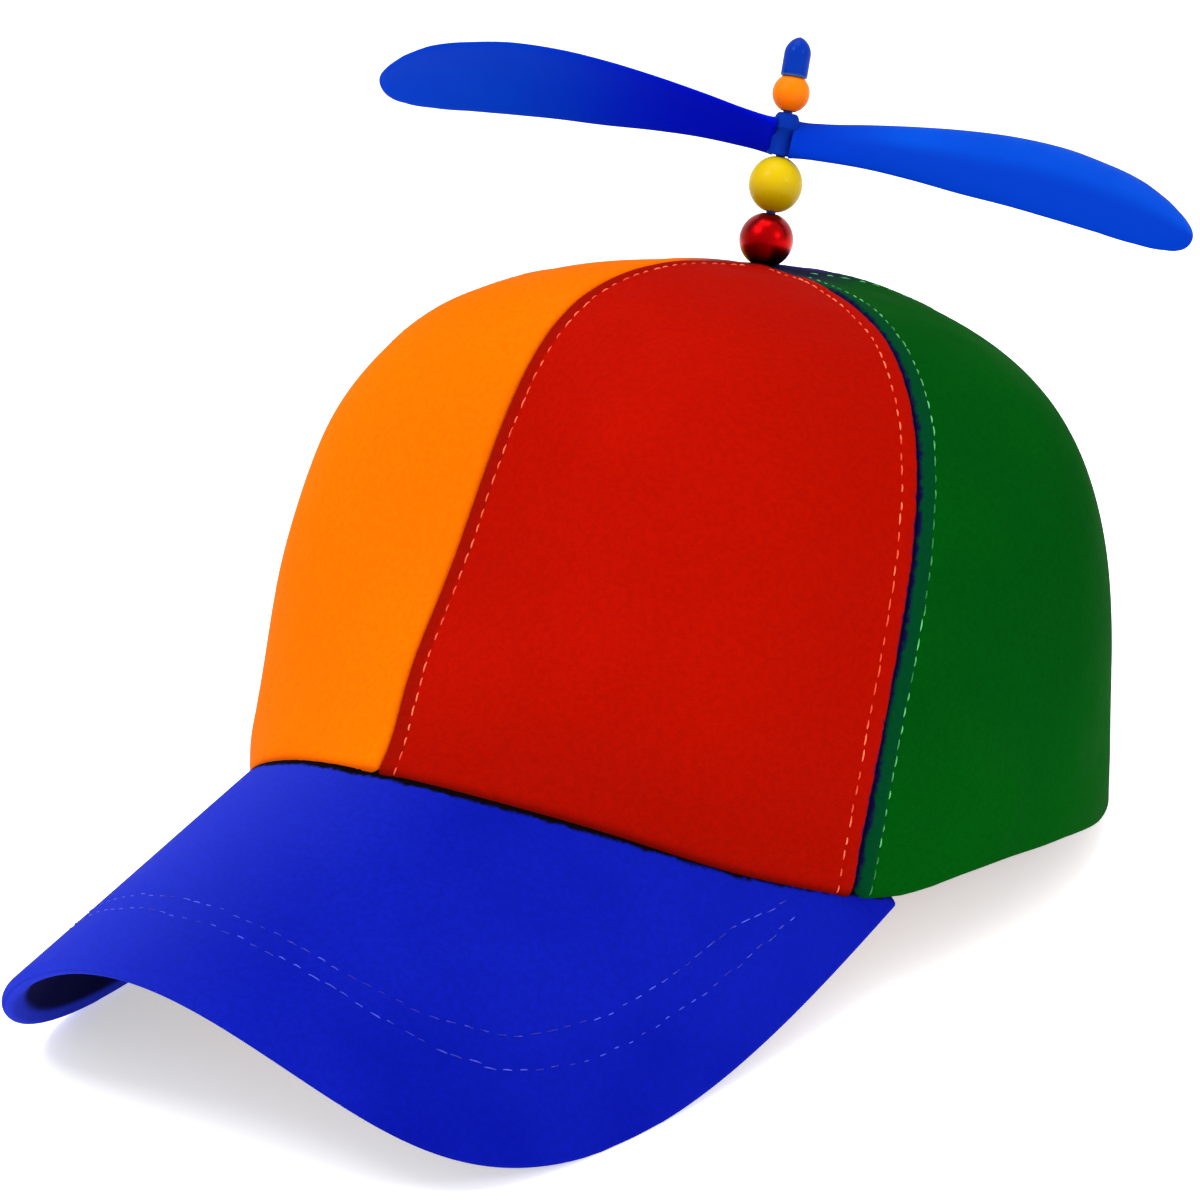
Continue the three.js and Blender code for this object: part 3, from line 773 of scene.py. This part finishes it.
def brim_stitches(side, label, offset):
    """Both stitch rows on the brim's upper (1) or lower (-1) face."""
    stitches = []
    for name in ("outer", "inner"):
        a, b = stitch_row(name).T
        points = at_rest(brim_point(a, b, offset))
        normals = unit(brim_point(a, b, 1.0) - brim_point(a, b, 0.0)) @ REST_TURN.T * side
        stitches += along_line(points, normals, BRIM_THREAD.loose)
    stitch_piece("brim_stitches_" + label, stitches, "brim", BRIM_THREAD.radius)


# Beads, propeller and cap

# Radius, height and place on the spindle
BEADS = {
    "bead_red": (5.6, 11.3, STACK.red),
    "bead_yellow": (5.55, 11.7, STACK.yellow),
    "bead_orange": (3.85, 8.0, STACK.orange),
}
BEAD_EDGE = Sizes(turn=0.06, depth=0.5)
BEAD_ROWS = 48


def bead_profile(radius, height):
    start = math.asin(BORE / radius)
    a = np.linspace(start + BEAD_EDGE.turn, math.pi - start - BEAD_EDGE.turn, BEAD_ROWS)
    ball = [[radius * math.sin(x), -height / 2 * math.cos(x)] for x in a]
    low = -height / 2 * math.cos(start)
    return [[BORE, -low - BEAD_EDGE.depth], [BORE, low + BEAD_EDGE.depth]] + ball


def spindle_turn():
    return Matrix.Rotation(-SPINDLE_LEAN.back, 4, "X") @ Matrix.Rotation(SPINDLE_LEAN.side, 4, "Y")


def spindle_matrix(height):
    base = Matrix.Translation((0, CROWN.apex_set_back, CROWN.height))
    full = REST_MATRIX @ base @ spindle_turn() @ Matrix.Translation((0, 0, height))
    full.translation *= MM
    return full


def dress(made, node, body):
    """Puts a piece in its solid's place, on a body and with the material named as the node."""
    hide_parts(node)
    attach(made, body)
    made.data.materials.append(MATERIALS[node])


def beads():
    for node, (radius, height, at) in BEADS.items():
        made = turned_mesh(node + "_ball", bead_profile(radius, height))
        dress(place(made, spindle_matrix(at)), node, "cap")


TIP = Sizes(radius=2.78, height=7.5, shoulder=3.9, depth=3.4, skirt=-0.75)


def tip_cap():
    profile = [[BORE, 0.2], [BORE + 0.3, 0.1], [TIP.radius - 0.3, TIP.skirt + 0.1]]
    profile += [[TIP.radius - 0.15, TIP.skirt], [TIP.radius, TIP.skirt + 0.15]]
    profile += [[TIP.radius, z] for z in (0.8, 1.5, 2.6, TIP.shoulder)]
    for u in np.linspace(0.05, 1, 18):
        r = TIP.radius * (1 - u**2.0) ** 0.66
        profile.append([max(r, 0.02), TIP.shoulder + (TIP.height - TIP.shoulder) * u])
    profile += [[0.02, TIP.depth + 0.2], [0.02, TIP.depth], [BORE, TIP.depth]]
    made = turned_mesh("tip_cap_shell", profile)
    dress(place(made, spindle_matrix(STACK.cap)), "tip_cap", "cap")


HUB = Sizes(radius=2.4, height=8.8, dome_radius=2.8, dome_height=3.2, lip=0.7, bore=1.42, level=0.49)
BLADE = Sizes(
    start=0.022,
    root=1.4,
    length=85.2,
    chord=22.7,
    thickness=1.5,
    camber=1.3,
    pitch_hub=math.radians(47.8),
    pitch_tip=math.radians(36),
    droop=2.0,
    heading=math.radians(33.4),
    end_play=math.radians(1.7),
    side_play=math.radians(4.3),
)
# Where the blade starts to close, over which share of it, and how full it stays
TIP_START = 0.78
TIP_LENGTH = 0.224
TIP_POWER = 2.16
# Leading and trailing edge in shares of the chord
BLADE_ROWS = {
    "share": [0, 0.08, 0.2, 0.32, 0.44, 0.56, 0.68, 0.78, 0.87, 0.94, 0.98, 1],
    "lead": [0.17, 0.21, 0.32, 0.43, 0.53, 0.6, 0.61, 0.54, 0.42, 0.23, 0.04, -0.12],
    "trail": [-0.26, -0.24, -0.23, -0.26, -0.31, -0.34, -0.39, -0.44, -0.49, -0.51, -0.46, -0.33],
}


def blade_outline():
    """Shares along the blade with its middle and half width, closed in a smooth round tip."""
    tip = np.sin(np.linspace(0, 0.99, 34) * math.pi / 2)
    straight = np.linspace(BLADE.start, TIP_START, 60)[:-1]
    share = np.concatenate([straight, TIP_START + TIP_LENGTH * tip])
    inside = np.minimum(share, 1)
    lead = column(BLADE_ROWS, "share", inside, "lead")
    trail = column(BLADE_ROWS, "share", inside, "trail")
    lead_there = column(BLADE_ROWS, "share", TIP_START, "lead")
    full = lead_there - column(BLADE_ROWS, "share", TIP_START, "trail")
    closing = np.sqrt(1 - np.clip((share - TIP_START) / TIP_LENGTH, 0, 1) ** TIP_POWER)
    half = np.where(share < TIP_START, lead - trail, full * closing) / 2
    middle = (lead + trail) / 2
    return share[:, None], middle[:, None], half[:, None]


def blade_side(side, turn):
    """Upper (1) or lower (-1) face of a blade, turned half round the hub by turn -1."""
    share, middle, half = blade_outline()
    g = (1 - np.cos(np.linspace(0, math.pi, 33)))[None, :] - 1
    pitch = lerp(BLADE.pitch_hub, BLADE.pitch_tip, share)
    sag = BLADE.droop * smooth(share, 0.2, 1.2)
    along = (middle + half * g) * BLADE.chord
    arch = BLADE.camber * 2 * half * (1 - g**2)
    root = 1 + BLADE.root * np.exp(-((share - BLADE.start) / BLADE.start))
    thick = side * BLADE.thickness / 2 * root * np.sqrt(np.maximum(0, 1 - g**4))
    thick = thick * np.sqrt(np.clip((TIP_START + TIP_LENGTH - share) / 0.02, 0, 1))
    off = arch + thick
    x = share * BLADE.length + 0 * g
    y = along * np.cos(pitch) - off * np.sin(pitch)
    z = along * np.sin(pitch) + off * np.cos(pitch) - sag
    return np.stack([x * turn, y * turn, z + HUB.height * (HUB.level - 0.5)], -1)


def hub_profile():
    low, high = -HUB.height / 2, HUB.height / 2
    profile = [[HUB.bore, low], [HUB.dome_radius - 0.2, low], [HUB.dome_radius, low + 0.2]]
    profile += [[HUB.dome_radius, low + HUB.lip - 0.2], [HUB.dome_radius - 0.15, low + HUB.lip]]
    profile += [[HUB.radius, low + HUB.lip + 0.35], [HUB.radius, high - HUB.dome_height - 0.3]]
    for a in np.linspace(0, math.pi / 2, 15)[:-1]:
        r = HUB.bore + (HUB.dome_radius - HUB.bore) * math.cos(a) ** 0.8
        profile.append([r, high - HUB.dome_height * (1 - math.sin(a))])
    profile.append([HUB.bore, high])
    return profile


def joined(name, parts):
    """One object of several meshes."""
    bpy.ops.object.select_all(action="DESELECT")
    for part in parts:
        part.select_set(True)
    bpy.context.view_layer.objects.active = parts[0]
    bpy.ops.object.join()
    parts[0].name = name
    return parts[0]


def propeller():
    joint = frame["joints"][0]
    parts = [turned_mesh("hub", hub_profile())]
    for k, turn in enumerate((1, -1)):
        upper, under = blade_side(1, turn), blade_side(-1, turn)
        # Masks for painted shade: width darkens one half of the chord on the upper face only, span
        # darkens near the hub, and underside darkens the lower face, most towards the hub
        span = np.abs(upper[..., 0]) / BLADE.length
        width = np.linspace(0, 1, upper.shape[1])[None, :] + 0 * span
        shaded = (0 * span, 0.4 + 0.6 * smooth(span, 0.75, 0.1))
        attributes = {
            "span": span,
            "width": (width, 1 + 0 * width),
            "underside": shaded,
            "blade": 1 + 0 * span,
        }
        parts.append(wall_mesh(f"blade_{k}", upper, under, attributes))
    made = joined("propeller_moulding", parts)
    heading = Matrix.Rotation(BLADE.heading, 4, "Z")
    play = Matrix.Rotation(BLADE.end_play, 4, "Y") @ Matrix.Rotation(BLADE.side_play, 4, "X")
    turn = (REST_MATRIX.to_3x3() @ (spindle_turn() @ heading @ play).to_3x3()).to_4x4()
    made.data.transform(Matrix.Translation(Vector(joint["pos_m"])) @ turn)
    dress(made, "propeller", "propeller")


# Materials

class Nodes:
    """Builds one material's nodes with short calls."""

    def __init__(self, name):
        self.material = bpy.data.materials.new(name)
        self.material.use_nodes = True
        self.tree = self.material.node_tree
        self.shader = self.tree.nodes["Principled BSDF"]

    def add(self, kind, **values):
        node = self.tree.nodes.new(kind)
        for key, value in values.items():
            setattr(node, key, value)
        return node

    def link(self, source, target):
        self.tree.links.new(source, target)

    def set(self, node, **values):
        for key, value in values.items():
            node.inputs[key.replace("_", " ")].default_value = value
        return node

    def attribute(self, name):
        return self.add("ShaderNodeAttribute", attribute_name=name).outputs["Fac"]

    def noise(self, scale, detail=3.0, stretch=None, rough=0.55):
        node = self.add("ShaderNodeTexNoise")
        self.set(node, Scale=scale, Detail=detail, Roughness=rough)
        place_at = self.add("ShaderNodeTexCoord").outputs["Object"]
        if stretch:
            mapping = self.add("ShaderNodeMapping")
            mapping.inputs["Scale"].default_value = stretch
            self.link(place_at, mapping.inputs["Vector"])
            place_at = mapping.outputs["Vector"]
        self.link(place_at, node.inputs["Vector"])
        return node.outputs["Fac"]

    def ramp(self, source, low, high, to_low=0.0, to_high=1.0, kind="SMOOTHSTEP"):
        node = self.add("ShaderNodeMapRange", interpolation_type=kind)
        self.set(node, From_Min=low, From_Max=high, To_Min=to_low, To_Max=to_high)
        self.link(source, node.inputs["Value"])
        return node.outputs["Result"]

    def math(self, operation, a, b=None):
        node = self.add("ShaderNodeMath", operation=operation)
        for k, value in enumerate((a, b)):
            if value is None:
                continue
            if isinstance(value, (int, float)):
                node.inputs[k].default_value = value
            else:
                self.link(value, node.inputs[k])
        return node.outputs[0]

    def mix(self, amount, a, b):
        """Mixes two colours; each is a colour or a socket."""
        node = self.add("ShaderNodeMix", data_type="RGBA")
        self.link(amount, node.inputs[0])
        for socket, value in ((node.inputs[6], a), (node.inputs[7], b)):
            if isinstance(value, (tuple, list)):
                socket.default_value = value
            else:
                self.link(value, socket)
        return node.outputs[2]

    def bump(self, height, strength, distance, below=None):
        node = self.add("ShaderNodeBump")
        self.set(node, Strength=strength, Distance=distance)
        self.link(height, node.inputs["Height"])
        if below is not None:
            self.link(below, node.inputs["Normal"])
        return node.outputs["Normal"]


def rgb(r, g, b):
    """Display colour of 0 to 255 as linear light."""

    def linear(v):
        v = v / 255
        return v / 12.92 if v <= 0.04045 else ((v + 0.055) / 1.055) ** 2.4

    return (linear(r), linear(g), linear(b), 1.0)


def twill(nodes):
    """Fine diagonal weave with uneven threads, as a height."""
    wave = nodes.add("ShaderNodeTexWave", wave_type="BANDS", bands_direction="DIAGONAL")
    nodes.set(wave, Scale=560.0, Distortion=1.2, Detail=2.0, Detail_Scale=2.0)
    nodes.link(nodes.add("ShaderNodeTexCoord").outputs["Object"], wave.inputs["Vector"])
    threads = nodes.noise(1500.0, 2.0, (1.0, 1.0, 0.25))
    return nodes.math("ADD", nodes.math("MULTIPLY", wave.outputs["Fac"], 0.6), threads)


def cloth(name, light, dark, bands=(), painted_shades=(), broad_painted_light=()):
    """Woven cotton with broad painted light and shade, bands beside seams or edges, and painted shade
    over them.

    Bands are (attribute, distance in mm, colour), the others (attribute, low, high, colour).
    """
    nodes = Nodes(name)
    colour = nodes.mix(nodes.ramp(nodes.noise(14.0, 3.0), 0.3, 0.7), dark, light)
    # Broad painted light and shade across the piece
    for attribute, low, high, tint in broad_painted_light:
        colour = nodes.mix(nodes.ramp(nodes.attribute(attribute), low, high), colour, tint)
    ragged = nodes.ramp(nodes.noise(420.0, 3.0), 0.3, 0.7, -0.35, 0.35)
    for attribute, distance, tint in bands:
        near = nodes.math("ADD", nodes.attribute(attribute), ragged)
        mask = nodes.ramp(near, distance - 0.4, distance + 0.5, 1.0, 0.0)
        colour = nodes.mix(mask, colour, tint)
    # Painted shade, laid over the bands
    for attribute, low, high, tint in painted_shades:
        colour = nodes.mix(nodes.ramp(nodes.attribute(attribute), low, high), colour, tint)
    fine = nodes.ramp(nodes.noise(900.0, 2.0), 0.3, 0.7, 0.94, 1.05)
    shade = nodes.add("ShaderNodeHueSaturation")
    nodes.link(colour, shade.inputs["Color"])
    nodes.link(fine, shade.inputs["Value"])
    nodes.link(shade.outputs["Color"], nodes.shader.inputs["Base Color"])
    nodes.link(nodes.ramp(nodes.noise(60.0), 0.3, 0.7, 0.8, 0.95), nodes.shader.inputs["Roughness"])
    soft = nodes.bump(nodes.noise(55.0, 4.0), 0.2, 0.0005)
    nodes.link(nodes.bump(twill(nodes), 0.2, 0.0001, soft), nodes.shader.inputs["Normal"])
    nodes.set(nodes.shader, Sheen_Weight=0.03, Sheen_Roughness=0.4, Sheen_Tint=light)
    nodes.set(nodes.shader, Specular_IOR_Level=0.01)
    return nodes.material


def thread(name, light, dark):
    nodes = Nodes(name)
    nodes.link(
        nodes.mix(nodes.ramp(nodes.noise(140.0, 4.0), 0.42, 0.62), dark, light),
        nodes.shader.inputs["Base Color"],
    )
    nodes.link(nodes.bump(nodes.noise(2600.0), 0.3, 0.0001), nodes.shader.inputs["Normal"])
    nodes.set(nodes.shader, Roughness=0.6, Sheen_Weight=0.1, Specular_IOR_Level=0.15)
    return nodes.material


def plastic(name, light, dark, roughness, level, shades=(), metallic=0.0):
    """Moulded plastic; shades are tints, most of them painted shade, each (attribute, low, high, colour).
    """
    nodes = Nodes(name)
    colour = nodes.mix(nodes.ramp(nodes.noise(60.0, 3.0), 0.3, 0.7), dark, light)
    for attribute, low, high, tint in shades:
        colour = nodes.mix(nodes.ramp(nodes.attribute(attribute), low, high), colour, tint)
    nodes.link(colour, nodes.shader.inputs["Base Color"])
    rough = nodes.ramp(nodes.noise(300.0, 3.0), 0.3, 0.7, roughness * 0.85, roughness * 1.2)
    nodes.link(rough, nodes.shader.inputs["Roughness"])
    nodes.link(nodes.bump(nodes.noise(180.0, 2.0), 0.08, 0.0002), nodes.shader.inputs["Normal"])
    nodes.set(nodes.shader, Metallic=metallic, Specular_IOR_Level=level)
    return nodes.material


NAVY = rgb(10, 10, 52)
TEAL = rgb(0, 58, 27)
# Near black of the painted shadow where the crown and the brim meet
SHADOW_BLACK = rgb(6, 4, 6)
PLASTIC_NAMES = {
    "bead_red": "pearl_red",
    "bead_yellow": "satin_yellow",
    "bead_orange": "satin_orange",
    "propeller": "moulded_blue",
    "tip_cap": "deep_blue",
    "spindle": "pin_blue",
}


def plastics():
    """Materials of the pieces on the spindle."""
    # Painted shade: each bead darker towards its bottom
    red_low_shade = (("level", -0.3, -1.0, rgb(60, 1, 2)),)
    yellow_low_shade = (("level", 0.2, -0.9, rgb(164, 134, 0)),)
    orange_low_shade = (("level", 0.2, -0.9, rgb(222, 100, 0)),)
    lip = (("level", -0.86, -0.94, rgb(54, 84, 140)),)
    # Painted shade on the blades: one half of the chord on the upper face, near the hub, and the
    # underside towards the hub; the last row gives the hub a darker tone
    blades = (
        ("width", 0.6, 0.4, rgb(0, 49, 165)),
        ("span", 0.3, 0.05, rgb(0, 46, 172)),
        ("underside", 0.0, 1.0, rgb(0, 13, 192)),
        ("blade", 0.6, 0.4, rgb(6, 44, 146)),
    )
    rows = (
        ("bead_red", rgb(172, 6, 8), rgb(146, 3, 5), 0.3, 0.5, red_low_shade, 1.0),
        ("bead_yellow", rgb(204, 175, 1), rgb(197, 167, 0), 0.27, 0.08, yellow_low_shade),
        ("bead_orange", rgb(238, 126, 1), rgb(232, 116, 0), 0.34, 0.06, orange_low_shade),
        ("propeller", rgb(0, 67, 186), rgb(0, 62, 180), 0.4, 0.01, blades),
        ("tip_cap", rgb(0, 54, 164), rgb(0, 44, 150), 0.2, 0.05, lip),
        ("spindle", rgb(8, 40, 140), rgb(4, 32, 120), 0.35, 0.15),
    )
    return {row[0]: plastic(PLASTIC_NAMES[row[0]], *row[1:]) for row in rows}


def make_materials():
    """Base colours under the studio's light, a little darker than they show."""
    # Painted shadow: near black at the hem, where the crown meets the brim
    junction_shadow = (("junction_shade", 0.5, 0.85, SHADOW_BLACK),)
    # Painted shade: darker near the top of the crown
    shaded_top = (("top", 24.0, 10.0, rgb(24, 26, 46)),)
    made = {
        "panel_front_left": cloth(
            "red_cloth",
            rgb(164, 12, 1),
            rgb(154, 9, 0),
            (("seam_a", 3.5, rgb(134, 10, 1)), ("seam_b", 0.55, NAVY)),
            # Painted shade: darker red above the hem where the crown meets the brim, near black at the
            # hem
            (("junction_shade", 0.08, 0.5, rgb(104, 6, 1)),) + junction_shadow,
            # Painted shade: darker towards the side seam and towards the hem
            (("seam_b", 55.0, 5.0, rgb(150, 9, 0)), ("up", 30.0, 4.0, rgb(146, 9, 0))),
        ),
        "panel_front_right": cloth(
            "orange_cloth",
            rgb(232, 104, 0),
            rgb(226, 98, 0),
            (),
            # Painted shade: darker above the hem where the crown meets the brim, darker near the top,
            # near black at the hem
            (("junction_shade", 0.08, 0.5, rgb(176, 70, 0)), ("top", 30.0, 14.0, rgb(120, 70, 66))) + junction_shadow,
        ),
        "panel_side_left": cloth(
            "green_cloth",
            rgb(0, 72, 7),
            rgb(0, 64, 9),
            (("seam_a", 3.5, TEAL), ("seam_a", 0.6, NAVY)),
            shaded_top,
        ),
        "panel_side_right": cloth("yellow_cloth", rgb(226, 190, 6), rgb(216, 176, 0)),
        "panel_back_left": cloth("violet_cloth", rgb(56, 44, 112), rgb(42, 36, 92)),
        "panel_back_right": cloth("blue_cloth", rgb(14, 44, 160), rgb(8, 34, 144)),
        "brim": cloth(
            "brim_cloth",
            rgb(11, 24, 154),
            rgb(4, 13, 134),
            # Painted shadow: near black along the root, where the brim meets the crown
            (("root", 2.6, SHADOW_BLACK),),
            # Painted shade: the underside darker
            (("under", 0.0, 1.0, rgb(5, 6, 50)),),
            # Painted light: lighter towards the wearer's right
            (("sideways", 30.0, -28.0, rgb(31, 45, 174)),),
        ),
    }
    threads = {
        "panel_front_left": (rgb(250, 118, 72), rgb(220, 64, 28)),
        "panel_front_right": (rgb(250, 166, 70), rgb(240, 130, 20)),
        "panel_side_left": (rgb(84, 184, 104), rgb(14, 112, 48)),
        "panel_side_right": (rgb(250, 226, 140), rgb(230, 204, 80)),
        "panel_back_left": (rgb(140, 130, 200), rgb(90, 80, 160)),
        "panel_back_right": (rgb(120, 150, 230), rgb(60, 90, 200)),
        "brim": (rgb(64, 78, 206), rgb(9, 20, 150)),
    }
    for key, (light, dark) in threads.items():
        made[key + "_thread"] = thread(key + "_thread", light, dark)
    made.update(plastics())
    return made


MATERIALS = make_materials()


def cad_materials():
    """The CAD nodes that stay get their material on their own slots."""
    made = frame["nodes"]["spindle"]
    made.data.materials.clear()
    made.data.materials.append(MATERIALS["spindle"])


# Camera, light and floor

def camera():
    """The photograph's camera; gives its right, up and backward directions."""
    a, e = CAMERA.azimuth, CAMERA.elevation
    back = Vector((math.sin(a) * math.cos(e), -math.cos(a) * math.cos(e), math.sin(e)))
    right = Vector((math.cos(a), math.sin(a), 0))
    up = back.cross(right)
    c, s = math.cos(CAMERA.roll), math.sin(CAMERA.roll)
    x = right * c + up * s
    y = up * c - right * s
    data = bpy.data.cameras.new("camera")
    data.lens = CAMERA.lens
    data.sensor_width = 36.0
    made = bpy.data.objects.new("camera", data)
    turn = Matrix((x, y, back)).transposed().to_4x4()
    eye = (Vector(CAMERA.target) + back * CAMERA.distance) * MM
    made.matrix_world = Matrix.Translation(eye) @ turn
    data.clip_start, data.clip_end = 0.01, 20.0
    bpy.context.scene.collection.objects.link(made)
    bpy.context.scene.camera = made
    return x, y, back


# Side, height and nearness seen from the camera in metres, size and watts
LIGHTS = {"key": (-0.75, 0.9, 0.75, 0.45, 7.0), "fill": (0.9, 0.35, 0.8, 0.35, 2.0)}
TOP_LIGHT = Sizes(place=(0, 0.1, 1.3), size=0.9, energy=5.0)


def area_light(name, place_at, aim, size, energy):
    data = bpy.data.lights.new(name, "AREA")
    data.shape = "DISK"
    data.size = size
    data.energy = energy
    made = bpy.data.objects.new(name, data)
    made.location = place_at
    made.rotation_mode = "QUATERNION"
    made.rotation_quaternion = (Vector(aim) - Vector(place_at)).to_track_quat("-Z", "Y")
    bpy.context.scene.collection.objects.link(made)


def studio(right, up, back):
    """A soft key and fill beside the camera, a broad light from above, and a white world."""
    middle = Vector((0, 0, 0.08))
    for name, (x, y, z, size, energy) in LIGHTS.items():
        area_light(name, middle + right * x + up * y + back * z, middle, size, energy)
    area_light("top", Vector(TOP_LIGHT.place), middle, TOP_LIGHT.size, TOP_LIGHT.energy)
    world = bpy.data.worlds.new("studio")
    world.use_nodes = True
    background = world.node_tree.nodes["Background"]
    background.inputs["Color"].default_value = (1, 1, 1, 1)
    background.inputs["Strength"].default_value = 1.0
    bpy.context.scene.world = world
    bpy.context.scene.view_settings.view_transform = "Standard"


FLOOR = Sizes(half_size=6000.0, depth=-0.05)


def floor():
    a, z = FLOOR.half_size, FLOOR.depth
    corners = np.array([[-a, -a, z], [a, -a, z], [a, a, z], [-a, a, z]])
    made = mesh_object("floor", corners, [(0, 1, 2, 3)])
    nodes = Nodes("pale_floor")
    nodes.set(nodes.shader, Base_Color=(0.97, 0.97, 0.97, 1), Roughness=0.95, Specular_IOR_Level=0.0)
    nodes.set(nodes.shader, Emission_Color=(1, 1, 1, 1), Emission_Strength=0.5)
    made.data.materials.append(nodes.material)


floor()
studio(*camera())
for number, (name, (seams, corners)) in enumerate(PANELS.items()):
    # The front seam is stitched on the red panel alone
    stitched = (name != "panel_front_right", True)
    panel_piece(name, seams, corners, 10 * number + 1, stitched)
brim_piece()
beads()
tip_cap()
propeller()
cad_materials()
